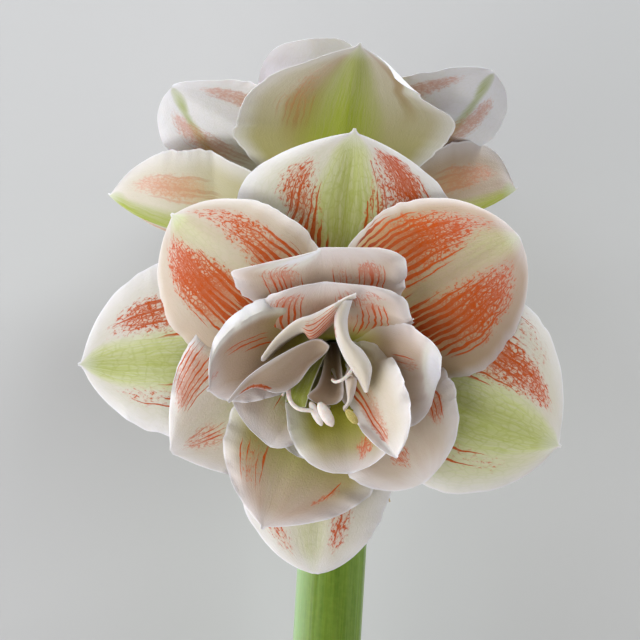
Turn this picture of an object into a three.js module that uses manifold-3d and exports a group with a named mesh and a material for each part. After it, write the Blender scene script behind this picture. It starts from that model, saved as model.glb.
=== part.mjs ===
// A cut amaryllis flower stem with two double blooms, lying on a table.
// The plant's own frame: X across, Y up the stem, Z out towards the face of the front bloom.
// The umbel, where the flower stalks leave the stem, is at its origin. Millimetres and degrees.

import * as THREE from 'three';
import { mergeVertices } from 'three/addons/utils/BufferGeometryUtils.js';
import Module from 'manifold-3d';

const wasm = await Module();
wasm.setup();

// Driving dimensions

const stemLength = 320;
const stemRadius = 14; // just below the umbel
const cutRadius = 14.6; // at the cut end
const boreRadius = 10; // the hollow in the cut end
const boreDepth = 34;
const boreDome = 4; // its rounded inner end
const stemBevel = 1.5; // round the top rim
const stemLean = -3.5; // leans to +X on its way up
const stemSides = 24;
const leaning = new THREE.Euler(0, 0, THREE.MathUtils.degToRad(stemLean));

const bladeThickness = 0.9;
const rootHalfWidth = 5;
const tipHalfWidth = 1.4; // no tepal ends in a sharp point
const seam = 0.3; // clearance between neighbouring pieces

const lieAngle = 12.95; // the stem rises from its cut end to the rear bloom that props it
const rollAngle = -0.5; // the turn about the stem that sets both low margins of that bloom down

// Each bloom sits on its own axis: at = its base, tilt = turns about X, Y and its own axis.
const frontPlace = { at: [-3, 13, 35], tilt: [5, -4, 0] };
const rearPlace = { at: [-5, 60, -34], tilt: [-120, 0, 180] };

// A tepal runs out from its root at the azimuth az. root and tip are [reach from the axis, rise
// along it], lean is the spine's angle from the axis at [root, tip], pull how long it holds each.
// half is the half width [clockwise, counter-clockwise]; cup and curl bend the same two halves.

const sepal = { root: [6, 4], lean: [20, 95], widest: 0.58, round: 0.7, curl: [-20, -20], wave: 0.8 };
const petal = {
  root: [6, 4], lean: [15, 118], pull: [0.5, 0.5], widest: 0.55, round: 0.5,
  cup: [-20, -20], curl: [-40, -40], wave: 0.8,
};
const middle = { root: [5, 10], round: 0.6, cup: [8, 8], curl: [-15, -15], wave: 1.6 };
const inner = { root: [4, 14], lean: [5, 75], round: 0.5, cup: [20, 20], curl: [-15, -15], wave: 1.6 };
const petaloid = { root: [4, 16], widest: 0.7, round: 0.5, wave: 0.8 };

const frontTepals = [
  { ...sepal, az: 84, tip: [87, 34], half: [45, 44], lean: [20, 75] },
  { ...sepal, az: 183, tip: [99, 34], half: [45, 31] },
  { ...sepal, az: 338, tip: [96, 32], half: [35, 48], round: 0.66 },
  { ...petal, az: 139, tip: [84, 36], half: [34, 38] },
  { ...petal, az: 32, tip: [87, 36], half: [40, 40] },
  { ...petal, az: 266, tip: [88, 36], half: [37, 32], lean: [20, 90], cup: [-5, -5], curl: [-20, -20] },
];
const frontMiddle = [
  { ...middle, az: 93, tip: [43, 58], half: [33, 37], lean: [0, 70], widest: 0.7, round: 0.45 },
  { ...middle, az: 212, tip: [74, 46], half: [31, 32], lean: [15, 85], curl: [-30, -10] },
  { ...middle, az: 249, tip: [72, 46], half: [31, 32], lean: [15, 75], round: 0.72, curl: [0, 0] },
  { ...middle, az: 308, tip: [62, 46], half: [33, 35], lean: [12, 78], round: 0.5 },
];
const frontInner = [
  { ...inner, az: 91, tip: [30, 60], half: [34, 28], lean: [0, 60], widest: 0.7, round: 0.45 },
  { ...inner, az: 195, tip: [47, 56], half: [27, 14] },
  { ...inner, az: 350, tip: [41, 56], half: [24, 18], cup: [10, 10] },
  { ...inner, az: 306, tip: [47, 56], half: [12, 17], lean: [5, 65], round: 0.7, cup: [50, 40] },
  { ...inner, az: 281, tip: [45, 50], half: [20, 22], curl: [0, 0] },
  { ...inner, az: 236, tip: [41, 50], half: [31, 22], curl: [0, 0] },
];
const frontPetaloids = [
  { ...petaloid, az: 120, tip: [24, 62], half: [20, 26], lean: [0, 40], cup: [15, 15] },
  { ...petaloid, az: 207, tip: [42, 62], half: [9, 11], lean: [0, 105], cup: [-30, -30] },
  { ...petaloid, az: 352, tip: [17, 62], half: [17, 22], lean: [-5, 70], cup: [15, 15] },
  { ...petaloid, az: 262, tip: [20, 50], half: [8, 8], lean: [-10, 60], cup: [-10, -10] },
  { ...petaloid, az: 259, tip: [27, 55], half: [5, 5], lean: [-5, 70], cup: [20, 20] },
];

const rearTepals = [
  { ...sepal, az: 98, tip: [84, 40], half: [43, 44], lean: [30, 80], round: 0.7 },
  { ...sepal, az: 351, tip: [100, 33], half: [36, 30], lean: [30, 95], round: 0.5 },
  { ...sepal, az: 193, tip: [84, 35], half: [32, 37], lean: [30, 95], round: 0.5 },
  { ...petal, az: 38, tip: [86, 40], half: [38, 28], lean: [12, 100], cup: [-15, -10], curl: [-30, -25] },
  { ...petal, az: 140, tip: [92, 44], half: [26, 36], lean: [12, 100], cup: [-10, -15], curl: [-25, -30] },
  { ...petal, az: 270, tip: [47, 66], half: [38, 38], lean: [75, -15], cup: [-12, -12], curl: [0, 0] },
];
const rearMiddle = [
  { ...middle, az: 80, tip: [52, 67], half: [28, 26], lean: [0, 70], round: 0.4, cup: [20, 20] },
  { ...middle, az: 345, tip: [50, 60], half: [24, 22], lean: [0, 70], cup: [20, 20] },
  { ...middle, az: 200, tip: [50, 60], half: [22, 24], lean: [0, 70], cup: [20, 20] },
  { ...middle, az: 285, tip: [30, 62], half: [22, 24], lean: [10, 20], cup: [20, 20] },
];
const rearInner = [
  { ...inner, az: 110, tip: [38, 62], half: [20, 20], lean: [0, 65] },
  { ...inner, az: 35, tip: [38, 62], half: [20, 20], lean: [0, 65] },
  { ...inner, az: 165, tip: [36, 60], half: [20, 20], lean: [0, 65] },
  { ...inner, az: 270, tip: [22, 60], half: [20, 20], lean: [5, 30] },
];
const rearPetaloids = [
  { ...petaloid, az: 75, tip: [18, 60], half: [14, 16], lean: [0, 45], cup: [15, 15] },
  { ...petaloid, az: 220, tip: [18, 58], half: [12, 12], lean: [0, 60], cup: [10, 10] },
];

// Filaments and anther of the front bloom: [across, up, out] in the bloom's frame.
const filamentRadius = 0.9;
const filaments = [
  [[-4, -2, 10], [-14, -9, 36], [-14.5, -16, 49], [-6.5, -21.8, 53]],
  [[3, -2, 10], [7, -6, 32], [8.3, -9, 46], [7.6, -18.2, 54]],
];
const antherLength = 7;
const antherRadius = 1.7;
const antherAt = [9.9, -22.6, 54.9];
const antherTurn = 35;

// Throat: the short tube at the base of each bloom, which every tepal grows from: [radius, height].
const throat = [[5.6, -8], [6.6, -3], [9, 4], [11, 12], [11.4, 20], [7, 22.5]];
const throatBase = throat[0];

// Flower stalks, each ending in its ovary
const stalkRadius = 4.6;
const stalkSides = 12;
const stalkOffset = 6.5; // from the middle of the stem top
const ovaryRadius = 7.2;
const ovaryLength = 17;
const ovaryLobe = 0.09;

// Two dry bracts that held the bud, hanging from the rim of the stem top
const bract = {
  root: [15.9, 0], tip: [20, -44], lean: [180, 172], half: [12, 12], widest: 0.35, round: 0.9,
  cupBase: -46, cup: [-30, -30], curl: [-20, -20], wave: 1.2,
};
const bractDrop = 5;

const tipward = 0.8; // rows of points crowd towards a tepal's tip, where it narrows fastest
const mendTolerance = 0.2; // slivers where tepals cross are smoothed by this much at most
const fineTepal = { along: 7, across: 6 };
const fineMiddle = { along: 6, across: 4 };
const fineInner = { along: 5, across: 4 };
const finePetaloid = { along: 5, across: 2 };
const fineBract = { along: 8, across: 4 };

// Colours and finishes

const finishes = {
  stem: { color: 0x86ad3f, roughness: 0.45 },
  stalk: { color: 0x93b552, roughness: 0.5 },
  bloom: { color: 0xf3ede2, roughness: 0.5 },
  bract: { color: 0xb99f74, roughness: 0.8 },
  anther: { color: 0xe3c64a, roughness: 0.8 },
};

function material(finish) {
  return new THREE.MeshStandardMaterial({ ...finishes[finish], metalness: 0 });
}

// Tepals

const radians = THREE.MathUtils.degToRad;
const direction = (angle) => new THREE.Vector2(Math.sin(angle), Math.cos(angle));

// The spine of a tepal as a curve of (reach, rise)
function spineOf(row) {
  const root = new THREE.Vector2(...row.root);
  const tip = new THREE.Vector2(...row.tip);
  const [leanRoot, leanTip] = row.lean.map(radians);
  const [pullRoot, pullTip] = row.pull ?? [0.4, 0.4];
  const chord = root.distanceTo(tip);
  const afterRoot = root.clone().addScaledVector(direction(leanRoot), chord * pullRoot);
  const beforeTip = tip.clone().addScaledVector(direction(leanTip), -chord * pullTip);
  return new THREE.CubicBezierCurve(root, afterRoot, beforeTip, tip);
}

// Share of the half width at the share s of the length
function widthAt(row, s) {
  const widest = row.widest ?? 0.58;
  if (s <= widest) {
    return Math.pow(Math.sin((s / widest) * Math.PI / 2), row.claw ?? 1.3);
  }
  const x = (s - widest) / (1 - widest);
  return Math.pow(Math.max(0, 1 - Math.pow(x, 2.2)), row.round);
}

// Where a point at the share v of a half width of 1 lies once the half is cupped and curled
function bendAcross(v, cup, curl) {
  const steps = 8;
  let across = 0;
  let depth = 0;
  for (let k = 0; k < steps; k += 1) {
    const t = Math.abs(v) * (k + 0.5) / steps;
    const angle = radians(cup * t + curl * Math.pow(t, 4));
    across += Math.cos(angle) * Math.abs(v) / steps;
    depth += Math.sin(angle) * Math.abs(v) / steps;
  }
  return { across: Math.sign(v) * across, depth };
}

// A tepal's middle surface as rows of points, root to tip, in the bloom's frame
function tepalSurface(row, fine) {
  const spine = spineOf(row);
  const azimuth = radians(row.az);
  const outward = new THREE.Vector3(Math.cos(azimuth), Math.sin(azimuth), 0);
  const sideways = new THREE.Vector3(-Math.sin(azimuth), Math.cos(azimuth), 0);
  const axis = new THREE.Vector3(0, 0, 1);
  const cup = row.cup ?? [0, 0];
  const curl = row.curl ?? [0, 0];
  const cupBase = row.cupBase ?? 50;
  const surface = [];
  for (let i = 0; i <= fine.along; i += 1) {
    const s = Math.pow(i / fine.along, tipward);
    const place = spine.getPointAt(s);
    const heading = spine.getTangentAt(s);
    const centre = outward.clone().multiplyScalar(place.x).addScaledVector(axis, place.y);
    const inward = outward.clone().multiplyScalar(-heading.y).addScaledVector(axis, heading.x);
    const opened = Math.min(1, s / 0.45);
    const ruffle = Math.min(1, 2 * s) * Math.min(1, 6 * (1 - s));
    const line = [];
    for (let j = 0; j <= fine.across; j += 1) {
      const v = -1 + 2 * j / fine.across;
      const side = v < 0 ? 0 : 1;
      const narrowest = s < 0.5 ? rootHalfWidth : tipHalfWidth;
      const half = Math.max(row.half[side] * widthAt(row, s), narrowest);
      const bent = bendAcross(v, cupBase + (cup[side] - cupBase) * opened, curl[side] * opened);
      const phase = 4 * Math.PI * s + radians(row.az) * 3 + (side ? 1.9 : 0);
      const wave = row.wave * Math.pow(Math.abs(v), 2.5) * Math.sin(phase) * ruffle;
      const point = centre.clone().addScaledVector(sideways, bent.across * half);
      line.push(point.addScaledVector(inward, bent.depth * half + wave));
    }
    surface.push(line);
  }
  return surface;
}

// The normal of a surface of points at row i and column j
function normalAt(surface, i, j) {
  const last = surface.length - 1;
  const edge = surface[0].length - 1;
  const along = surface[Math.min(i + 1, last)][j].clone().sub(surface[Math.max(i - 1, 0)][j]);
  const across = surface[i][Math.min(j + 1, edge)].clone().sub(surface[i][Math.max(j - 1, 0)]);
  return along.cross(across).normalize();
}

// A closed blade of even thickness about a surface, split into triangles alike on both faces
function bladeGeometry(surface) {
  const rows = surface.length;
  const columns = surface[0].length;
  const positions = [];
  for (const side of [0.5, -0.5]) {
    for (let i = 0; i < rows; i += 1) {
      for (let j = 0; j < columns; j += 1) {
        const offset = normalAt(surface, i, j).multiplyScalar(side * bladeThickness);
        positions.push(...surface[i][j].clone().add(offset).toArray());
      }
    }
  }
  const front = (i, j) => i * columns + j;
  const back = (i, j) => rows * columns + front(i, j);
  const index = [];
  for (let i = 0; i + 1 < rows; i += 1) {
    for (let j = 0; j + 1 < columns; j += 1) {
      index.push(front(i, j), front(i + 1, j), front(i + 1, j + 1));
      index.push(front(i, j), front(i + 1, j + 1), front(i, j + 1));
      index.push(back(i, j), back(i + 1, j + 1), back(i + 1, j));
      index.push(back(i, j), back(i, j + 1), back(i + 1, j + 1));
    }
    const edge = columns - 1;
    index.push(front(i, 0), back(i, 0), front(i + 1, 0));
    index.push(back(i, 0), back(i + 1, 0), front(i + 1, 0));
    index.push(front(i, edge), front(i + 1, edge), back(i, edge));
    index.push(back(i, edge), front(i + 1, edge), back(i + 1, edge));
  }
  for (let j = 0; j + 1 < columns; j += 1) {
    const end = rows - 1;
    index.push(front(0, j), front(0, j + 1), back(0, j));
    index.push(front(0, j + 1), back(0, j + 1), back(0, j));
    index.push(front(end, j), back(end, j), front(end, j + 1));
    index.push(front(end, j + 1), back(end, j), back(end, j + 1));
  }
  return indexedGeometry(positions, index);
}

function indexedGeometry(positions, index) {
  const geometry = new THREE.BufferGeometry();
  geometry.setAttribute('position', new THREE.Float32BufferAttribute(positions, 3));
  geometry.setIndex(index);
  return geometry;
}

// A closed tube through rings along a curve; radiusAt(s, angle) gives its surface
function tubeGeometry(curve, steps, sides, radiusAt) {
  const frames = curve.computeFrenetFrames(steps, false);
  const positions = [];
  for (let i = 0; i <= steps; i += 1) {
    const centre = curve.getPointAt(i / steps);
    for (let k = 0; k < sides; k += 1) {
      const angle = 2 * Math.PI * k / sides;
      const radius = radiusAt(i / steps, angle);
      const point = centre.clone();
      point.addScaledVector(frames.normals[i], radius * Math.cos(angle));
      point.addScaledVector(frames.binormals[i], radius * Math.sin(angle));
      positions.push(...point.toArray());
    }
  }
  const index = [];
  const at = (i, k) => i * sides + (k % sides);
  for (let i = 0; i < steps; i += 1) {
    for (let k = 0; k < sides; k += 1) {
      index.push(at(i, k), at(i, k + 1), at(i + 1, k));
      index.push(at(i, k + 1), at(i + 1, k + 1), at(i + 1, k));
    }
  }
  for (let k = 1; k + 1 < sides; k += 1) {
    index.push(at(0, 0), at(0, k + 1), at(0, k));
    index.push(at(steps, 0), at(steps, k), at(steps, k + 1));
  }
  return indexedGeometry(positions, index);
}

// Joining

function toSolid(geometry) {
  const bare = geometry.index ? geometry : mergeVertices(geometry);
  return new wasm.Manifold(new wasm.Mesh({
    numProp: 3,
    vertProperties: new Float32Array(bare.attributes.position.array),
    triVerts: new Uint32Array(bare.index.array),
  }));
}

// One closed body of all of them: sealed hollows are filled and loose scraps dropped
function joined(geometries) {
  let solid = toSolid(geometries[0]);
  for (const geometry of geometries.slice(1)) {
    solid = solid.add(toSolid(geometry));
  }
  const bodies = solid.simplify(mendTolerance).decompose();
  const largest = bodies.reduce((best, body) => (body.volume() > best.volume() ? body : best));
  const mesh = largest.getMesh();
  return indexedGeometry(Array.from(mesh.vertProperties), Array.from(mesh.triVerts));
}

// A body of revolution about Z from [radius, height] pairs, closed on its axis
function turnedGeometry(profile, sides) {
  const outline = profile.map(([radius, height]) => new THREE.Vector2(radius, height));
  outline.unshift(new THREE.Vector2(0, profile[0][1]));
  outline.push(new THREE.Vector2(0, profile[profile.length - 1][1]));
  const geometry = new THREE.LatheGeometry(outline, sides);
  geometry.deleteAttribute('normal');
  geometry.deleteAttribute('uv');
  return mergeVertices(geometry).rotateX(Math.PI / 2);
}

// Pieces

function piece(name, geometry, finish) {
  const mesh = new THREE.Mesh(geometry, material(finish));
  mesh.name = name;
  return mesh;
}

function placed(place) {
  const group = new THREE.Group();
  group.position.set(...place.at);
  group.rotation.set(...place.tilt.map(radians));
  group.updateMatrix();
  return group;
}

// One bloom: every whorl of tepals grown together on its throat
function bloom(name, place, whorls, extras) {
  const parts = [turnedGeometry(throat, 18)];
  for (const [rows, fine] of whorls) {
    for (const row of rows) {
      parts.push(bladeGeometry(tepalSurface(row, fine)));
    }
  }
  const group = placed(place);
  group.add(piece(name, joined([...parts, ...extras]), 'bloom'));
  return group;
}

function filament(points) {
  const curve = new THREE.CatmullRomCurve3(points.map((point) => new THREE.Vector3(...point)));
  return tubeGeometry(curve, 8, 6, () => filamentRadius);
}

function anther() {
  const turn = radians(antherTurn);
  const reach = new THREE.Vector3(Math.sin(turn), -Math.cos(turn), 0.2).multiplyScalar(antherLength / 2);
  const middlePoint = new THREE.Vector3(...antherAt);
  const curve = new THREE.LineCurve3(middlePoint.clone().sub(reach), middlePoint.clone().add(reach));
  const rounded = (s) => antherRadius * Math.sqrt(Math.max(0.1, 1 - Math.pow(2 * s - 1, 4)));
  return tubeGeometry(curve, 6, 8, rounded);
}

// The stem, with a hollow in its cut end
function stem() {
  const boreEnd = boreDepth - stemLength;
  const outline = [
    [0, 0], [stemRadius - stemBevel, 0], [stemRadius, -stemBevel], [cutRadius, -stemLength],
    [boreRadius, -stemLength], [boreRadius, boreEnd - boreDome], [boreRadius * 0.6, boreEnd - 1],
    [0, boreEnd],
  ].map(([radius, height]) => new THREE.Vector2(radius, height)).reverse();
  const geometry = new THREE.LatheGeometry(outline, stemSides);
  geometry.deleteAttribute('normal');
  geometry.deleteAttribute('uv');
  return piece('stem', mergeVertices(geometry), 'stem');
}

// A flower stalk from the stem top to the base of its bloom, swelling into the ovary
function stalk(name, place, side) {
  const frame = placed(place).matrix;
  const axis = new THREE.Vector3(0, 0, 1).transformDirection(frame);
  const end = new THREE.Vector3(0, 0, throatBase[1] - seam).applyMatrix4(frame);
  const stemUp = new THREE.Vector3(0, 1, 0).applyEuler(leaning);
  const start = new THREE.Vector3(0, seam, side * stalkOffset).applyEuler(leaning);
  const reach = start.distanceTo(end);
  const curve = new THREE.CubicBezierCurve3(
    start,
    start.clone().addScaledVector(stemUp, reach * 0.35),
    end.clone().addScaledVector(axis, -reach * 0.45),
    end,
  );
  const ovaryShare = ovaryLength / curve.getLength();
  const radiusAt = (s, angle) => {
    const t = Math.max(0, (s - (1 - ovaryShare)) / ovaryShare);
    const swell = Math.sin(Math.PI * Math.min(1, t * 1.05));
    const thick = stalkRadius + (throatBase[0] - stalkRadius) * t + (ovaryRadius - stalkRadius) * 0.75 * swell;
    return thick * (1 + ovaryLobe * swell * Math.cos(3 * angle));
  };
  return piece(name, tubeGeometry(curve, 12, stalkSides, radiusAt), 'stalk');
}

function dryBract(name, azimuth) {
  const surface = tepalSurface({ ...bract, az: azimuth }, fineBract);
  const geometry = bladeGeometry(surface).rotateX(-Math.PI / 2);
  const mesh = piece(name, geometry, 'bract');
  mesh.position.y = -bractDrop;
  return mesh;
}

// The plant, then laid down with its lowest points on the table

const plant = new THREE.Group();
const scape = new THREE.Group();
scape.rotation.copy(leaning);
scape.add(stem(), dryBract('left_bract', 180), dryBract('right_bract', 0));
plant.add(scape);
plant.add(stalk('front_stalk', frontPlace, 1));
plant.add(stalk('rear_stalk', rearPlace, -1));

const frontBloom = bloom('front_bloom', frontPlace, [
  [frontTepals, fineTepal], [frontMiddle, fineMiddle], [frontInner, fineInner],
  [frontPetaloids, finePetaloid],
], filaments.map(filament));
frontBloom.add(piece('front_anther', anther(), 'anther'));
plant.add(frontBloom);

plant.add(bloom('rear_bloom', rearPlace, [
  [rearTepals, fineTepal], [rearMiddle, fineMiddle], [rearInner, fineInner],
  [rearPetaloids, finePetaloid],
], []));

plant.rotation.set(radians(lieAngle), radians(rollAngle), 0, 'YXZ');
const box = new THREE.Box3().setFromObject(plant, true);
plant.position.set(-(box.min.x + box.max.x) / 2, -(box.min.y + box.max.y) / 2, -box.min.z);

const part = new THREE.Group();
part.add(plant);

export default part;
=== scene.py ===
import math
from bisect import bisect_left

import bpy
from mathutils import Matrix, Vector, noise
from mathutils.geometry import interpolate_bezier


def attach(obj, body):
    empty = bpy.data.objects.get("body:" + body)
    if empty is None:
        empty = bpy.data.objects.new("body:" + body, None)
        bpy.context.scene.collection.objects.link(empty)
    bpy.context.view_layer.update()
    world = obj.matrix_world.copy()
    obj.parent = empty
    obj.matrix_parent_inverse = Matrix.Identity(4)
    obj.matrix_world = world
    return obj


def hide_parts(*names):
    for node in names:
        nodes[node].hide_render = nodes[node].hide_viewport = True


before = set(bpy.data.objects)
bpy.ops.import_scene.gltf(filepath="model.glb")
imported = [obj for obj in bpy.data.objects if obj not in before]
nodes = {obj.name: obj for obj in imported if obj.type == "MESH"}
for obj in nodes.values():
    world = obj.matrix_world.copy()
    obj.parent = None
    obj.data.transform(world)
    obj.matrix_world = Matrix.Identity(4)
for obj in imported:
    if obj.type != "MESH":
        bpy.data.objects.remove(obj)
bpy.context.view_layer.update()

# A cut amaryllis stem with two double blooms, lying on the floor.
# Each bloom is modelled in millimetres in its own frame, its face towards +Z, and then set in place.

bpy.ops.object.select_all(action="DESELECT")
mm = 0.001

# Where things are

lie = {"angle": 12.95, "roll": -0.5, "lean": -3.5}  # how the plant lies, and how its stem leans in it
blooms = {
    "front": {"at": (-3, 13, 35), "tilt": (5, -4, 0)},
    "rear": {"at": (-5, 60, -34), "tilt": (-120, 0, 180)},
}


def turned(x, y, z):
    return (
        Matrix.Rotation(math.radians(x), 4, "X")
        @ Matrix.Rotation(math.radians(y), 4, "Y")
        @ Matrix.Rotation(math.radians(z), 4, "Z")
    )


def umbelPlace(lying, leaning):  # the middle of the stem's top
    back = (lying @ leaning).inverted()
    points = [back @ vertex.co for vertex in nodes["stem"].data.vertices]
    low = [min(point[axis] for point in points) for axis in range(3)]
    high = [max(point[axis] for point in points) for axis in range(3)]
    return lying @ leaning @ Vector(((low[0] + high[0]) / 2, high[1], (low[2] + high[2]) / 2))


lying = turned(0, lie["roll"], 0) @ turned(lie["angle"], 0, 0)
leaning = turned(0, 0, lie["lean"])
plant = Matrix.Translation(umbelPlace(lying, leaning)) @ lying @ Matrix.Scale(mm, 4)
scape = plant @ leaning
print("umbel at", [round(value, 4) for value in plant.translation])


def bloomPlace(name):
    spot = blooms[name]
    return plant @ Matrix.Translation(Vector(spot["at"])) @ turned(*spot["tilt"])


# Camera, over the front bloom and square to the plant as it lies

view = {"place": (-9.7, 23, 1100), "lens": 147.3, "farthest": 20}
bpy.ops.object.camera_add()
camera = bpy.context.object
camera.data.lens = view["lens"]
camera.data.clip_end = view["farthest"]
camera.location = plant @ Vector(view["place"])
camera.rotation_euler = lying.to_euler()
bpy.context.scene.camera = camera

# Shader maths


def operator(kind, swapped=False):
    return lambda one, other: one.maths(kind, other, one) if swapped else one.maths(kind, one, other)


class Signal:  # wraps a shader socket, so that maths written on it adds the nodes
    def __init__(self, tree, socket):
        self.tree = tree
        self.socket = socket

    def node(self, kind, sockets, out=0, **settings):
        made = self.tree.nodes.new("ShaderNode" + kind)
        for key, value in settings.items():
            setattr(made, key, value)
        for name, value in sockets.items():
            if isinstance(value, Signal):
                self.tree.links.new(value.socket, made.inputs[name])
            else:
                made.inputs[name].default_value = value
        return Signal(self.tree, made.outputs[out])

    def maths(self, operation, *values):
        return self.node("Math", dict(enumerate(values)), operation=operation)

    __add__ = __radd__ = operator("ADD")
    __sub__ = operator("SUBTRACT")
    __rsub__ = operator("SUBTRACT", swapped=True)
    __mul__ = operator("MULTIPLY")
    __truediv__ = operator("DIVIDE")

    def step(self, low, high):  # 0 below low and 1 above high, smooth between
        return self.node(
            "MapRange", {"Value": self, "From Min": low, "From Max": high},
            interpolation_type="SMOOTHSTEP",
        )

    def mix(self, a, b):  # colour a where this is 0 and b where it is 1
        colours = {6: a, 7: b}
        full = {key: (*c, 1) if isinstance(c, tuple) else c for key, c in colours.items()}
        return self.node("Mix", {0: self, **full}, out=2, data_type="RGBA")

    def attribute(self, name):
        return self.node("Attribute", {}, out=2, attribute_name=name)

    def scaled(self, x, y, z):  # a vector, stretched
        return self.node("VectorMath", {0: self, 1: (x, y, z)}, operation="MULTIPLY")

    def clouds(self, scale, detail=2, rough=0.5):
        return self.node("TexNoise", {"Vector": self, "Scale": scale, "Detail": detail, "Roughness": rough})

    def cells(self):  # the distance from the borders of scattered cells
        return self.node("TexVoronoi", {"Vector": self, "Scale": 1}, feature="DISTANCE_TO_EDGE")

    def bump(self, distance, strength=1):
        return self.node("Bump", {"Height": self, "Distance": distance, "Strength": strength})


def newMaterial(name, sheen):  # sheen holds the shader's constant values
    material = bpy.data.materials.new(name)
    material.use_nodes = True
    tree = material.node_tree
    shader = tree.nodes["Principled BSDF"]
    for socket, value in sheen.items():
        shader.inputs[socket].default_value = value
    return material, Signal(tree, shader.outputs[0])


def feed(material, **inputs):  # links what varies over the surface to the shader
    tree = material.node_tree
    shader = tree.nodes["Principled BSDF"]
    for name, signal in inputs.items():
        socket = {"colour": "Base Color", "roughness": "Roughness", "normal": "Normal"}[name]
        tree.links.new(signal.socket, shader.inputs[socket])
    return material


# Materials

# beige and tan hold painted shade besides the tepals' own tint; rim is partly the margins' own white and
# partly a painted bluish backlight glow
tepalFinish = {
    "cream": (0.72, 0.69, 0.6), "beigeAndShade": (0.56, 0.42, 0.34), "tanAndShade": (0.42, 0.3, 0.18),
    "rim": (0.88, 0.88, 0.95), "green": (0.36, 0.42, 0.06), "paleGreen": (0.63, 0.68, 0.32),
    "olive": (0.34, 0.33, 0.035), "keel": (0.34, 0.42, 0.02), "deepRed": (0.2, 0.012, 0.001),
    "orange": (0.56, 0.085, 0.004), "pink": (0.64, 0.14, 0.085), "paleOrange": (0.62, 0.29, 0.11),
    "palePink": (0.76, 0.42, 0.33), "ochre": (0.56, 0.38, 0.11), "roughness": 0.5, "relief": 0.0002,
}
tepalPatterns = {  # how close across and along a tepal, detail, roughness, and what counts as 0 and 1
    "streaks": ((0.55, 0.03, 0), 2, 0.6, (0.32, 0.68)),  # long, from the throat out
    "fineStreaks": ((1.7, 0.06, 0), 2, 0.5, (0.32, 0.68)),
    "grain": ((0.9, 0.42, 0), 3, 0.7, (0.34, 0.66)),
    "stipple": ((2.4, 1.3, 0), 2, 0.6, (0.34, 0.66)),
    "patches": ((0.14, 0.05, 0), 2, 0.5, (0.3, 0.7)),
    "lengths": ((0.8, 0.012, 0), 1, 0.5, (0.3, 0.7)),  # how far the stroke on each vein reaches
}
veins = {  # apart is half the space between two; net and fineNet are the meshes between them
    "apart": 1.2, "wander": (0.22, 0.07, 0), "sway": (3, 2.5, 0), "net": (0.46, 0.22, 0),
    "fineNet": (0.95, 0.5, 0),
}
tepalMarks = ("red", "green", "olive", "blush", "rim", "reach", "back", "keel", "stripy")


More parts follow.
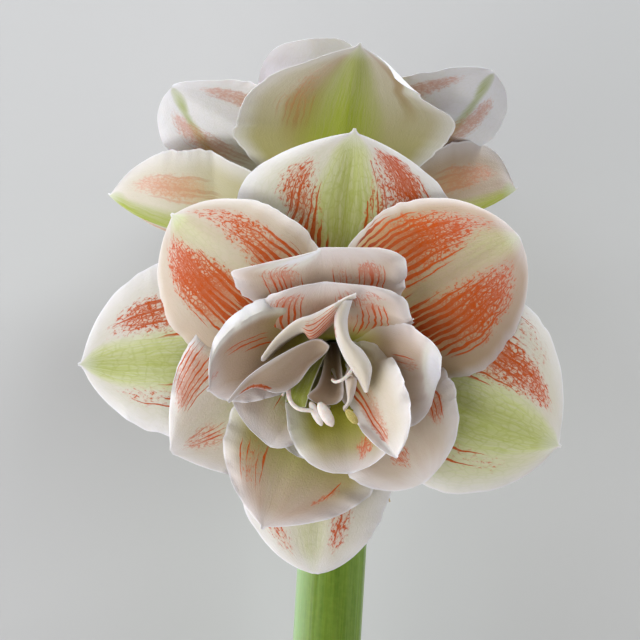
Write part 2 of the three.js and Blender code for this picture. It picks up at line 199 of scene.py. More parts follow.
def tepalMaterial():
    finish = tepalFinish
    material, start = newMaterial("tepal skin", {
        "Subsurface Weight": 0.1, "Subsurface Radius": (1, 0.7, 0.4), "Subsurface Scale": 0.0005,
        "Specular IOR Level": 0.14,
    })
    vein = start.node("UVMap", {}, uv_map="vein")
    red, green, olive, blush, rim, reach, back, keel, stripy = (start.attribute(name) for name in tepalMarks)

    wander = vein.scaled(*veins["wander"]).clouds(1, 3)
    bent = vein.node("VectorMath", {0: vein, 1: wander.scaled(*veins["sway"])}, operation="ADD")
    across = bent.node("SeparateXYZ", {0: bent})
    apart = veins["apart"]
    veinLines = 1 - across.maths("PINGPONG", across, apart) / apart  # 1 along a vein, 0 half way to the next
    streaks, fineStreaks, grain, stipple, patches, lengths = (
        bent.scaled(*close).clouds(1, detail, rough).step(*span)
        for close, detail, rough, span in tepalPatterns.values()
    )
    net = bent.scaled(*veins["net"]).cells()
    fineNet = bent.scaled(*veins["fineNet"]).cells()
    netLines = 1 - net.step(0, 0.14)

    # cream or beige, the beige partly the tepals' own tint and partly painted shade and the white below 0
    # painted light, the green band down the middle in fine lines, the yellow-green heart and a pale rim
    base = (blush * (0.8 + patches * 0.3)).step(0, 1.1).mix(finish["cream"], finish["beigeAndShade"])
    base = (blush * -1).step(0, 1.1).mix(base, finish["rim"])
    # painted shade: deeper towards the throat, partly the tepals' own tint and partly shade painted into the
    # colour
    base = (blush * (1.05 - reach)).step(0, 0.7).mix(base, finish["tanAndShade"])
    base = (green.step(0, 0.6) * (0.6 + fineStreaks * 0.4)).mix(base, finish["paleGreen"])
    base = (green.step(0.35, 1.2) * (0.45 + veinLines * 0.3 + fineStreaks * 0.25)).mix(base, finish["green"])
    # the yellow-green heart: the throat's own colour, reaching further up the lower inner tepals as a
    # painted glow of light passing through them
    base = olive.step(0, 1).mix(base, finish["olive"])
    base = (keel * (0.7 + fineStreaks * 0.3)).mix(base, finish["keel"])
    base = (netLines * (0.04 + green * 0.3)).mix(base, finish["green"])
    # pale rim: partly the margins' own paler colour and partly a painted bluish glow of light from behind
    base = (rim.step(0.1, 1) * 0.5 + rim.step(0.88, 1) * 0.3).mix(base, finish["rim"])

    # red marks: a stroke along each vein from the throat out, then a fine net, over a pale orange wash
    dense = red * (0.85 + patches * 0.2)
    plain = 1 - stripy
    near = (1 - reach.step(0.34, 0.62)) * plain
    base = (near * red.step(0, 0.8) * 0.7).mix(base, finish["ochre"])
    outward = (lengths * 0.42 + red * 0.26 + streaks * 0.1 + 0.32 - reach) * 2.6
    widest = 1.44 - reach * 1.5 + streaks * 0.2 + red.step(1, 1.5) * 0.16
    outward = outward.maths("MINIMUM", outward, widest)
    along = red * 0.5 + lengths * 0.42 + streaks * 0.22 - 0.5
    broad = stripy.node("Mix", {0: stripy, 2: outward, 3: along}, out=0, data_type="FLOAT")
    strokes = (veinLines + broad - 1).step(0, 0.12)
    threads = (dense * 0.9 + fineStreaks * 0.5 + streaks * 0.3 - 1.38).step(-0.06, 0.08)
    thin = (1 - fineNet.step(0.02, 0.22)) + (1 - net.step(0.01, 0.07)) * 0.6
    netted = thin.maths("MINIMUM", thin, 1) * (dense * 1.2 + grain * 0.7 - 0.8).step(0, 0.5)
    spotted = (dense * 0.65 + stipple * 0.62 + grain * 0.25 + thin * 0.2 - 1.36).step(-0.1, 0.12)
    netted = netted.maths("MAXIMUM", netted, spotted)
    netted = netted.maths("MAXIMUM", netted, threads * 0.8) * reach.step(0.47, 0.72)
    edgeward = reach.step(0.78, 0.96) * stripy
    strokes = strokes * (1 - edgeward * 0.7)
    marks = strokes.maths("MAXIMUM", strokes, netted * (1 - stripy * (0.85 - reach.step(0.7, 0.95) * 0.6)))
    painted = red.step(0.02, 0.25)
    shown = painted * (1 - back * 0.74)
    deep = 0.14 + back * 0.12 + plain * (0.22 + reach.step(0.5, 0.8) * 0.14)
    wash = (dense + grain * 0.3 - 0.35).step(0, 0.8) * deep * painted
    base = wash.mix(base, reach.step(0.6, 0.9).mix(finish["paleOrange"], finish["palePink"]))
    redColour = (reach.step(0.38, 0.6) * 0.88 + grain * 0.12).mix(finish["deepRed"], finish["orange"])
    redColour = (reach.step(0.7, 1) * 0.75).mix(redColour, finish["pink"])
    base = (marks * (0.85 + grain * 0.15) * shown).mix(base, redColour)

    shine = finish["roughness"] + grain * 0.08
    relief = veinLines * 0.3 + fineStreaks * 0.25 + fineNet.step(0, 0.4) * 0.4 + stipple * 0.5
    return feed(material, colour=base, roughness=shine, normal=relief.bump(finish["relief"], 0.4))


def plainMaterial(
    name, light, dark, scale, stretch, roughness, relief, soft, deep=0.003, bloom=None, coat=()
):  # soft and deep are how much light goes under the skin, and how far in metres
    sheen = {"Roughness": roughness, "Subsurface Weight": soft, "Subsurface Scale": deep, **dict(coat)}
    material, start = newMaterial(name, sheen)
    own = start.node("Attribute", {}, out=1, attribute_name="own")
    long = own.scaled(*stretch).clouds(scale, 4, 0.6)
    spots = own.scaled(0.5, 0.5, 0.5).clouds(scale, 3, 0.6)
    base = (long.step(0.3, 0.7) * 0.7 + spots.step(0.35, 0.7) * 0.3).mix(dark, light)
    if bloom:  # painted highlight: the stem's waxy bloom, painted only down the left side where the light falls, from 7 mm left of the middle on
        left = own.node("SeparateXYZ", {0: own}) * -1
        base = (left.step(7, 15) * (0.6 + long * 0.3)).mix(base, bloom)
    return feed(material, colour=base, roughness=roughness + spots * 0.1, normal=long.bump(relief))


tepalSkin = tepalMaterial()
# the stem's bloom colour is a painted highlight down its left side, partly its own waxy bloom
stemSkin = plainMaterial(
    "waxy green stem with painted highlight", (0.18, 0.28, 0.03), (0.1, 0.19, 0.01), 0.9, (1, 1, 0.02), 0.36, 0.0003, 0.15,
    bloom=(0.42, 0.6, 0.34), coat={"Coat Weight": 0.35, "Coat Roughness": 0.22, "Specular IOR Level": 0.25},
)
stalkSkin = plainMaterial(
    "stalk green", (0.36, 0.47, 0.14), (0.2, 0.33, 0.06), 0.9, (0.6, 0.6, 0.6), 0.42, 0.0002, 0.15
)
fleshSkin = plainMaterial(
    "cut stem flesh", (0.66, 0.72, 0.4), (0.42, 0.52, 0.18), 1.6, (1, 1, 0.2), 0.6, 0.0004, 0.2
)
bractSkin = plainMaterial(
    "dry bract", (0.62, 0.5, 0.33), (0.34, 0.22, 0.11), 1.3, (1, 0.05, 1), 0.75, 0.0004, 0.1, 0.002
)
throatSkin = plainMaterial(
    "throat green", (0.37, 0.44, 0.07), (0.2, 0.3, 0.02), 0.9, (0.6, 0.6, 0.2), 0.42, 0.0002, 0.25
)
filamentSkin = plainMaterial(
    "white filament", (0.9, 0.87, 0.84), (0.84, 0.75, 0.7), 0.8, (1, 1, 1), 0.45, 0.0001, 0.3
)
pollenSkin = plainMaterial(
    "pollen", (0.7, 0.6, 0.26), (0.46, 0.38, 0.08), 3, (1, 1, 1), 0.85, 0.0004, 0.1, 0.001
)

# Common steps


def selectOnly(*pieces):
    bpy.ops.object.select_all(action="DESELECT")
    for piece in pieces:
        piece.select_set(True)
    bpy.context.view_layer.objects.active = pieces[0]


def applyModifier(piece, kind, **settings):
    selectOnly(piece)
    modifier = piece.modifiers.new(kind.lower(), kind)
    for key, value in settings.items():
        setattr(modifier, key, value)
    bpy.ops.object.modifier_apply(modifier=modifier.name)


def pick(piece, kind, test):  # goes to edit mode with the edges or faces chosen that pass the test
    bpy.ops.object.mode_set(mode="EDIT")
    bpy.ops.mesh.select_mode(type=kind)
    bpy.ops.mesh.select_all(action="DESELECT")
    bpy.ops.object.mode_set(mode="OBJECT")
    for item in piece.data.edges if kind == "EDGE" else piece.data.polygons:
        item.select = test(item)
    bpy.ops.object.mode_set(mode="EDIT")


def pushUp(rise, share):  # extrudes the chosen faces and scales them
    bpy.ops.mesh.extrude_region_move(TRANSFORM_OT_translate={"value": (0, 0, rise)})
    bpy.ops.transform.resize(value=(share, share, 1))


def keepOwn(piece, back=Matrix()):  # remembers where each point is in the piece's own place
    own = piece.data.attributes.new("own", "FLOAT_VECTOR", "POINT")
    for vertex, entry in zip(piece.data.vertices, own.data):
        entry.vector = back @ vertex.co


def finishPiece(piece, name, material, slot, *stoodFor):
    piece.name = name
    if not piece.data.materials:
        piece.data.materials.append(material)
    selectOnly(piece)
    bpy.ops.object.shade_smooth_by_angle(angle=math.radians(50))
    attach(piece, "root")
    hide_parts(*stoodFor)
    piece.select_set(False)
    return piece


# Tepals. Each runs out from its root at the azimuth az; v runs from -1 to 1 across it and s from 0 at the
# root to 1 at the tip. Lengths are in millimetres and angles in degrees; a pair is for the two sides of v.
# root, tip: (reach from the axis, rise along it). lean: the spine's angle at each, held as pull says. nib:
# the length of the tip's point. half: half the width, widest: where. fill, round: how slowly the outline
# opens before that and closes after it. fold turns a side, cup and curl bend it, lip turns what is past the
# crease, roll turns the blade. pulls: (v, s, spread in v, spread in s, (aside, onward, inward)).
# wave, ruffle, groove: heights of the slow wave, the margin's crinkles and the middle furrow.
# blush: beige, partly the tepals' own tint and partly painted shade, or white below 0, partly their own
# white and partly painted light; warm adds painted shade to it and pale, a painted highlight, takes from it.
# heart, rimWide: how far the green heart and the pale rim reach; the heart is partly a painted glow of light
# through the tepal and the rim partly a painted bluish backlight glow. stripy: 0 for nets, 1 for single
# strokes.
# A band of colour is a list of (s, v of its middle, half its width in v, strength).

tepalDefaults = {
    "pull": (0.4, 0.4), "nib": 0.01, "widest": 0.58, "fill": 1.3, "fold": (0, 0), "cupBase": 50,
    "cup": (0, 0), "curl": (0, 0), "lip": (0, 0), "lipSpan": (0.3, 1), "crease": 0.84, "roll": 0,
    "pulls": [], "ruffle": 0, "groove": 0, "blush": 0, "heart": 0.3, "rimWide": 12, "stripy": 0,
    "red": [], "green": [], "wash": [], "keel": [], "warm": [], "pale": [],
}
sepal = {
    "root": (6, 4), "lean": (20, 95), "widest": 0.58, "round": 0.7, "curl": (-20, -20), "wave": 0.8,
    "nib": 1.8, "groove": 0.9, "ruffle": 0.5,
}
petal = {
    "root": (6, 4), "lean": (15, 118), "pull": (0.5, 0.5), "widest": 0.55, "round": 0.5,
    "cup": (-20, -20), "curl": (-40, -40), "wave": 0.8, "groove": 0.5, "ruffle": 0.8,
}
middle = {
    "root": (5, 10), "round": 0.6, "cup": (8, 8), "curl": (-15, -15), "wave": 1.6, "ruffle": 2.2,
    "groove": 0.4, "blush": 0.65, "heart": 0.42, "stripy": 1,
}
inner = {
    "root": (4, 14), "lean": (5, 75), "round": 0.5, "cup": (20, 20), "curl": (-15, -15), "wave": 1.6,
    "ruffle": 2.2, "groove": 0.3, "blush": 0.8, "heart": 0.5, "stripy": 1,
}
petaloid = {
    "root": (4, 16), "widest": 0.7, "round": 0.5, "wave": 0.8, "ruffle": 1.2, "blush": 0.8,
}

frontOuter = [
    # painted light: the first two sepals take a blush below 0, whitening them where they lie in shade
    {**sepal, "az": 84, "blush": -0.3, "tip": (87, 34), "half": (45, 46), "lean": (20, 75), "round": 0.85,
     "green": [[(0, 0, 0.9, 1), (0.3, 0, 0.6, 1.1), (0.5, 0, 0.4, 1.1), (0.7, 0, 0.38, 1),
          (0.85, 0.02, 0.36, 0.8), (1, 0, 0.6, 0.6)],
         [(0.3, 0.3, 0.8, 0.3), (0.8, 0.3, 0.8, 0.22), (1, 0, 0.8, 0.1)]],
     "red": [[(0.42, 0.2, 0.05, 0), (0.5, 0.24, 0.12, 0.9), (0.6, 0.35, 0.2, 0.85), (0.7, 0.46, 0.28, 0.85),
          (0.8, 0.54, 0.24, 0.75), (0.92, 0.6, 0.14, 0)],
         [(0.45, -0.5, 0.12, 0), (0.55, -0.55, 0.22, 1), (0.65, -0.57, 0.27, 1.1), (0.88, -0.6, 0.3, 1.1),
          (0.95, -0.6, 0.18, 0)], [(0.4, -0.14, 0.03, 0), (0.6, -0.18, 0.05, 0.9), (0.88, -0.3, 0.04, 0.5)],
         [(0.45, -0.24, 0.04, 0), (0.6, -0.29, 0.05, 0.9), (0.9, -0.38, 0.06, 0.6)]]},
    {**sepal, "az": 183, "blush": -0.3, "tip": (99, 34), "half": (40, 31),
     "green": [[(0, 0, 0.9, 1), (0.4, 0.05, 0.6, 0.9), (0.6, 0.05, 0.44, 0.85), (0.8, 0.05, 0.42, 0.8),
          (1, 0.02, 0.5, 1)], [(0.3, 0.4, 0.6, 0.3), (0.8, 0.5, 0.5, 0.12), (1, 0.3, 0.8, 0.12)]],
     "red": [[(0.42, -0.4, 0.12, 0), (0.5, -0.45, 0.24, 1), (0.75, -0.5, 0.26, 1), (0.85, -0.52, 0.22, 0.5),
          (0.93, -0.5, 0.15, 0)],
         [(0.55, 0.42, 0.12, 0), (0.65, 0.46, 0.2, 0.45), (0.8, 0.5, 0.2, 0.45), (0.92, 0.5, 0.1, 0)]]},
    {**sepal, "az": 338, "tip": (96, 32), "half": (35, 48), "round": 0.66,
     "green": [[(0, 0, 0.9, 1), (0.4, -0.05, 0.6, 0.9), (0.6, -0.1, 0.5, 0.9), (0.8, -0.08, 0.48, 0.85),
          (0.93, -0.03, 0.4, 0.8), (1, 0, 0.5, 1)],
         [(0.3, -0.5, 0.7, 0.4), (0.8, -0.55, 0.6, 0.34), (1, -0.3, 0.8, 0.2)]],
     "red": [[(0.48, 0.48, 0.2, 0), (0.56, 0.5, 0.27, 1), (0.66, 0.5, 0.28, 1.1), (0.76, 0.5, 0.25, 1),
          (0.86, 0.5, 0.19, 0.9), (0.94, 0.5, 0.1, 0)],
         [(0.55, 0.75, 0.2, 0), (0.68, 0.82, 0.2, 0.4), (0.82, 0.76, 0.18, 0.35), (0.9, 0.7, 0.1, 0)],
         [(0.5, -0.45, 0.2, 0), (0.62, -0.5, 0.2, 0.35), (0.8, -0.58, 0.2, 0.35), (0.9, -0.6, 0.1, 0)]]},
    # painted shade: blush darkens this petal beyond its own cream
    {**petal, "az": 139, "tip": (82, 36), "half": (33, 41), "round": 0.56, "nib": 1.6, "rimWide": 9,
     "blush": 0.6,
     "green": [[(0, 0, 0.6, 0.9), (0.4, -0.05, 0.3, 0.25), (0.7, -0.05, 0.36, 0.15), (0.92, 0, 0.4, 0.3),
          (1, 0, 0.4, 0.9)]],
     "red": [[(0.34, -0.36, 0.2, 0), (0.42, -0.4, 0.3, 1), (0.55, -0.42, 0.34, 1), (0.7, -0.48, 0.3, 0.9),
          (0.85, -0.5, 0.24, 0.7), (0.95, -0.42, 0.14, 0.4), (1, -0.4, 0.1, 0)],
         [(0.32, 0.08, 0.2, 0), (0.4, 0.12, 0.28, 1.1), (0.5, 0.2, 0.33, 1.4), (0.65, 0.28, 0.36, 1.5),
          (0.8, 0.34, 0.33, 1.25), (0.9, 0.36, 0.26, 0.7), (0.97, 0.4, 0.2, 0)]]},
    # painted shade: this petal's high blush and its warm band darken it where it lies in shade, over its own
    # tint
    {**petal, "az": 32, "tip": (87, 36), "half": (40, 40), "blush": 1.05, "rimWide": 9,
     "warm": [[(0.3, 0.8, 0.6, 0), (0.5, 0.95, 0.6, 0.7), (0.8, 1, 0.45, 0.4), (1, 0.8, 0.3, 0)]],
     "green": [[(0, 0, 0.5, 0.9), (0.45, 0, 0.2, 0.2), (0.7, 0.1, 0.3, 0.12), (0.88, 0.15, 0.36, 0.3),
          (1, 0, 0.4, 0.4)]],
     "red": [[(0.32, 0.36, 0.3, 0), (0.4, 0.46, 0.44, 1.1), (0.5, 0.5, 0.48, 1.25), (0.65, 0.5, 0.42, 1.2),
          (0.8, 0.5, 0.32, 0.95), (0.92, 0.5, 0.2, 0.5), (1, 0.5, 0.1, 0)],
         [(0.3, -0.15, 0.12, 0), (0.38, -0.22, 0.24, 1.3), (0.55, -0.32, 0.38, 1.3),
          (0.7, -0.38, 0.42, 1.2), (0.85, -0.38, 0.34, 0.95), (0.97, -0.34, 0.2, 0)]]},
    {**petal, "az": 266, "tip": (88, 36), "half": (34, 28), "lean": (20, 90), "cup": (-5, -5),
     "curl": (-20, -20), "round": 0.6,
     "green": [[(0.3, -0.05, 0.5, 0.55), (0.6, -0.08, 0.36, 0.38), (0.85, -0.1, 0.36, 0.32),
          (1, -0.1, 0.3, 0.3)]],
     "red": [[(0.65, -0.6, 0.12, 0), (0.78, -0.62, 0.24, 0.62), (0.9, -0.6, 0.24, 0.5),
          (0.97, -0.5, 0.1, 0)],
         [(0.58, 0.3, 0.12, 0), (0.7, 0.35, 0.24, 0.75), (0.86, 0.38, 0.24, 0.68), (0.96, 0.38, 0.1, 0)]]},
]
frontMiddle = [
    {**middle, "az": 93, "tip": (43, 58), "half": (33, 35.5), "lean": (0, 98), "pull": (0.45, 0.2),
     "widest": 0.86, "round": (0.28, 2.1), "fill": (1.3, 3.4), "lip": (30, 0), "blush": 0.85,
     # painted highlight: the pale band whitens the lit reflexed tip
     "pale": [[(0.86, 0.5, 0.3, 0), (0.92, 0.5, 0.36, 0.8), (1, 0.5, 0.5, 1)]],
     "red": [[(0.5, 0.42, 0.2, 0), (0.62, 0.44, 0.3, 1.2), (0.8, 0.46, 0.3, 1.2), (0.88, 0.46, 0.28, 0.8),
          (0.94, 0.46, 0.2, 0)],
         [(0.62, -0.58, 0.1, 0), (0.72, -0.58, 0.2, 1.2), (0.86, -0.56, 0.2, 1.2), (0.95, -0.55, 0.1, 0)],
         [(0.56, -0.2, 0.16, 0), (0.7, -0.22, 0.24, 0.8), (0.84, -0.22, 0.2, 0.6), (0.92, -0.2, 0.1, 0)]]},
    {**middle, "az": 212, "tip": (74, 40), "half": (36, 34), "lean": (15, 90), "cup": (8, -25),
     "curl": (-20, -10), "widest": 0.46, "round": 0.9, "blush": 0.4, "stripy": 0.7,
     "green": [[(0, 0, 0.8, 0.9), (0.4, 0, 0.6, 0.5), (0.7, 0.1, 0.5, 0.2), (1, 0, 0.3, 0)]],
     "red": [[(0.55, -0.72, 0.2, 0), (0.66, -0.75, 0.3, 1.3), (0.8, -0.72, 0.3, 1.2),
          (0.89, -0.7, 0.15, 0)],
         [(0.66, 0.1, 0.2, 0), (0.78, 0.12, 0.34, 0.75), (0.9, 0.12, 0.3, 0.7), (0.98, 0.12, 0.1, 0)]]},
    {**middle, "az": 249, "tip": (72, 48), "half": (28, 35), "lean": (10, 75), "round": 0.9, "curl": (0, 0),
     "cup": (-4, 0), "heart": 0.66, "nib": 1, "blush": 0.95, "stripy": 0.4,
     "pulls": [(-0.8, 0.5, 0.5, 0.3, (0, 0, 4))],
     "green": [[(0, 0, 0.9, 0.8), (0.5, 0, 0.7, 0.35), (0.75, 0.05, 0.5, 0.15), (1, 0, 0.3, 0.1)]],
     "red": [[(0.58, -0.5, 0.2, 0), (0.68, -0.55, 0.28, 0.54), (0.8, -0.55, 0.26, 0.5),
          (0.88, -0.5, 0.1, 0)],
         [(0.64, 0.68, 0.03, 0), (0.7, 0.66, 0.06, 0.9), (0.8, 0.58, 0.06, 0.9), (0.84, 0.57, 0.02, 0)]]},
    {**middle, "az": 308, "tip": (62, 46), "half": (25, 32), "lean": (12, 78), "round": 0.58, "stripy": 0.6,
     "green": [[(0, 0, 0.9, 0.8), (0.5, 0, 0.6, 0.4), (0.8, 0, 0.4, 0)]],
     "red": [[(0.44, 0.6, 0.1, 0), (0.58, 0.62, 0.2, 1.2), (0.74, 0.66, 0.18, 1.2), (0.84, 0.66, 0.06, 0)],
         [(0.68, -0.12, 0.12, 0), (0.8, -0.12, 0.26, 1.2), (0.93, -0.14, 0.14, 0)]]},
]
frontInner = [
    {**inner, "az": 91, "tip": (30, 60), "half": (34, 28), "lean": (0, 60), "widest": 0.7,
     "round": (0.3, 0.5), "lip": (40, 40), "crease": 0.88,
     "red": [[(0.4, 0.56, 0.2, 0), (0.5, 0.6, 0.4, 1.2), (0.75, 0.62, 0.4, 1.3), (0.88, 0.6, 0.3, 1),
          (0.96, 0.58, 0.15, 0)],
         [(0.4, -0.5, 0.2, 0), (0.55, -0.52, 0.24, 1.3), (0.8, -0.56, 0.2, 1.4), (0.88, -0.57, 0.1, 0)],
         [(0.36, -0.3, 0.3, 0), (0.5, -0.36, 0.4, 1), (0.7, -0.4, 0.36, 0.9), (0.78, -0.42, 0.2, 0)],
         [(0.7, -0.3, 0.2, 0), (0.85, -0.34, 0.3, 0.9), (0.98, -0.36, 0.2, 0)],
         [(0.82, -0.64, 0.12, 0), (0.9, -0.64, 0.2, 0.9), (0.98, -0.6, 0.06, 0)]]},
    {**inner, "az": 195, "tip": (47, 56), "half": (31, 10), "cup": (50, 20), "curl": (0, -15),
     "lip": (75, 0), "lipSpan": (0.3, 1, 0.36), "crease": 0.82, "widest": 0.6, "fill": 2.3, "blush": 1.1,
     "nib": 1.5, "pulls": [(-0.9, 0.5, 0.4, 0.3, (0, 0, 5))],
     # painted highlight: the pale band whitens the lit folded margin
     "pale": [[(0.3, -1, 0.12, 0.4), (0.45, -1, 0.28, 0.9), (0.9, -1, 0.3, 0.9), (1, -1, 0.3, 0.3)]],
     "red": [[(0.5, -0.35, 0.08, 0), (0.62, -0.42, 0.13, 1), (0.8, -0.5, 0.1, 0.9), (0.88, -0.52, 0.03, 0)],
         [(0.86, -0.3, 0.05, 0), (0.94, -0.32, 0.16, 0.7), (0.99, -0.3, 0.05, 0)]]},
    {**inner, "az": 350, "tip": (44, 54), "half": (25, 20), "lean": (5, 112), "pull": (0.5, 0.14),
     "round": 0.34, "cup": (10, 25), "curl": (-15, 0), "blush": 0.9,
     "pulls": [(-0.9, 0.6, 0.5, 0.5, (0, 0, -4))],
     # painted highlight: the pale band whitens the lit fold at the tip
     "pale": [[(0.86, 0.5, 0.2, 0), (0.92, 0.4, 0.8, 0.9), (1, 0.3, 1.2, 1)]],
     "red": [[(0.6, 0.15, 0.1, 0), (0.7, 0.18, 0.2, 1), (0.82, 0.15, 0.18, 0.8), (0.9, 0.15, 0.05, 0)]]},
    {**inner, "az": 306, "tip": (47, 56), "half": (7, 22), "lean": (5, 65), "round": 0.6, "cup": (40, 45),
     "pulls": [(0.7, 0.6, 0.6, 0.4, (0, 0, 7))], "blush": 0.4, "stripy": 0.7,
     "red": [[(0.3, 0, 0.3, 0), (0.42, 0, 0.42, 1.5), (0.6, -0.05, 0.4, 1.4), (0.75, -0.1, 0.4, 1.3),
          (0.85, -0.1, 0.3, 1.1), (0.93, -0.1, 0.2, 0)]]},
    # painted glow: the wide heart here and on the next tepal is partly light through the tepals painted in
    {**inner, "az": 281, "tip": (46, 52), "half": (21, 24), "curl": (0, 0), "blush": 0.9, "heart": 0.85,
     "stripy": 0.4, "widest": 0.64, "pulls": [(-0.8, 0.6, 0.4, 0.3, (0, 0, 3))],
     "green": [[(0, 0, 0.9, 0.8), (0.5, 0, 0.8, 0.5), (0.75, 0, 0.6, 0.2), (1, 0, 0.4, 0)]],
     "red": [[(0.74, 0.35, 0.12, 0), (0.86, 0.38, 0.24, 1.1), (0.97, 0.36, 0.1, 0)]]},
    {**inner, "az": 254, "tip": (42, 43), "half": (16, 18), "curl": (0, 0), "blush": 0.3, "heart": 0.95},
    {**inner, "az": 236, "tip": (42, 50), "half": (31, 12), "curl": (0, 0), "blush": 0.7, "heart": 0.5,
     "green": [[(0, 0, 0.9, 1), (0.5, 0, 0.8, 0.8), (0.75, 0, 0.6, 0.3), (1, 0, 0.4, 0)]],
     "red": [[(0.56, -0.1, 0.1, 0), (0.7, -0.1, 0.24, 0.7), (0.84, -0.1, 0.1, 0)]]},
]
# The small petaloids of the heart run through stations: at each, one edge, the middle and the other edge.
frontHeart = {
    "green strap": {"rimWide": 0.6, "ruffle": 0.1, "wash": [[(0, 0, 3, 0.4), (1, 0, 3, 0.1)]],
     "green": [[(0, 0, 3, 1.6), (1, 0, 3, 1.6)]], "stations": [
        [(-7, 4, 20), (-4, 2, 19), (-1, 2, 21)],
        [(-12, -5, 38), (-9, -6, 36), (-4, -5, 38)],
        [(-16, -13, 46), (-12, -14, 44), (-7, -13, 45)],
        [(-17, -19, 47), (-13, -20, 46), (-9, -20, 47)]]},
    "striped ribbon": {"rimWide": 3, "blush": 0.45, "reach": 0.78, "ruffle": 0.4, "stations": [
        [(-25, 1, 60), (-24.5, -1, 57), (-21, 1, 40)],
        [(-19.5, 8.5, 60), (-18, 6, 56), (-16, 5, 36)],
        [(-12, 15, 60), (-10, 10.5, 55), (-10, 8.5, 30)],
        [(-5.5, 17.5, 61), (-6, 7.5, 53), (-6, 8, 30)],
        [(1.5, 21, 62), (1.5, 15, 57), (1.5, 12.5, 36)],
        [(7, 24, 62), (6.5, 22, 60), (6.5, 20.5, 50)],
        [(11.5, 26, 62), (11.5, 24.5, 62), (11.5, 24, 60)]],
     "red": [[(0.34, -0.1, 0.3, 0), (0.44, -0.1, 0.9, 1.5), (0.7, -0.1, 0.9, 1.5), (0.8, -0.2, 0.3, 0)]],
     "stripy": 1},
    "spoon": {"rimWide": 3, "blush": 0.8, "reach": 0.7, "ruffle": 0.3, "stations": [
        [(-38.5, -16.5, 57), (-38.5, -17, 57), (-38, -17.5, 56)],
        [(-31, -7.5, 57), (-30, -9.5, 54), (-29, -12, 53)],
        [(-20.5, 0, 57), (-20.5, -7, 50), (-19.5, -14, 52)],
        [(-9, 6, 55), (-10.5, 0, 45), (-12.5, -11, 48)],
        [(-3.5, 7, 51), (-5, 2.5, 42), (-7.5, -4.5, 46)],
        [(0, 4, 45), (-1, 1.5, 42), (-3.5, -1, 43)]],
     "red": [[(0.08, 0.6, 0.3, 0), (0.16, 0.7, 0.35, 1.2), (0.3, 0.75, 0.3, 1.2), (0.36, 0.8, 0.1, 0)]]},
    "tall ribbon": {"rimWide": 3, "blush": 0.35, "reach": 0.8, "ruffle": 0.2, "stations": [
        [(4.5, 23, 61), (7, 23, 62), (10, 23, 61)],
        [(3, 16, 59), (5, 15.5, 61), (8, 15.5, 59)],
        [(3.5, 8, 57), (6.5, 8.5, 60), (9, 8, 58)],
        [(6.5, 0, 54), (10, 1.5, 58), (14, 3, 57)],
        [(9, -4.5, 51), (13, -4, 57), (17, -3, 55)],
        [(11.5, -9, 49), (14, -9, 54), (16.5, -8.5, 54)],
        [(14, -13.5, 50), (15, -13.5, 52), (15.5, -13, 52)]],
     "red": [[(0.18, -0.95, 0.2, 0), (0.28, -0.98, 0.25, 1), (0.38, -0.98, 0.15, 0)]]},
    "tongue": {"rimWide": 2, "blush": 0.8, "reach": 0.64, "ruffle": 0.5, "stations": [
        [(-4, 2.5, 14), (-1.5, 2, 10), (2, 2.5, 14)],
        [(-3, -5, 34), (0, -7, 26), (4, -5, 34)],
        [(-4.5, -11.5, 45), (0, -13, 37), (5.5, -11, 44)],
        [(-8, -15, 50), (-2, -16.5, 44), (5.5, -16, 48)],
        [(-6.5, -17, 50), (-2.5, -19, 47), (3, -18.5, 48)]]},
    "broad filament": {"rimWide": 2, "blush": 0.6, "reach": 0.8, "ruffle": 0.1, "stations": [
        [(6.5, -6, 40), (8, -6, 42), (9.5, -6, 40)],
        [(6.5, -8, 49), (9, -8, 51), (11, -8, 49)],
        [(7, -12.5, 49), (8.5, -12.5, 52), (10.5, -13, 50)],
        [(7.5, -17, 51), (8, -17, 53), (9, -17, 52)],
        [(6, -19, 52), (6, -20, 53), (6.5, -21, 52)]]},
}

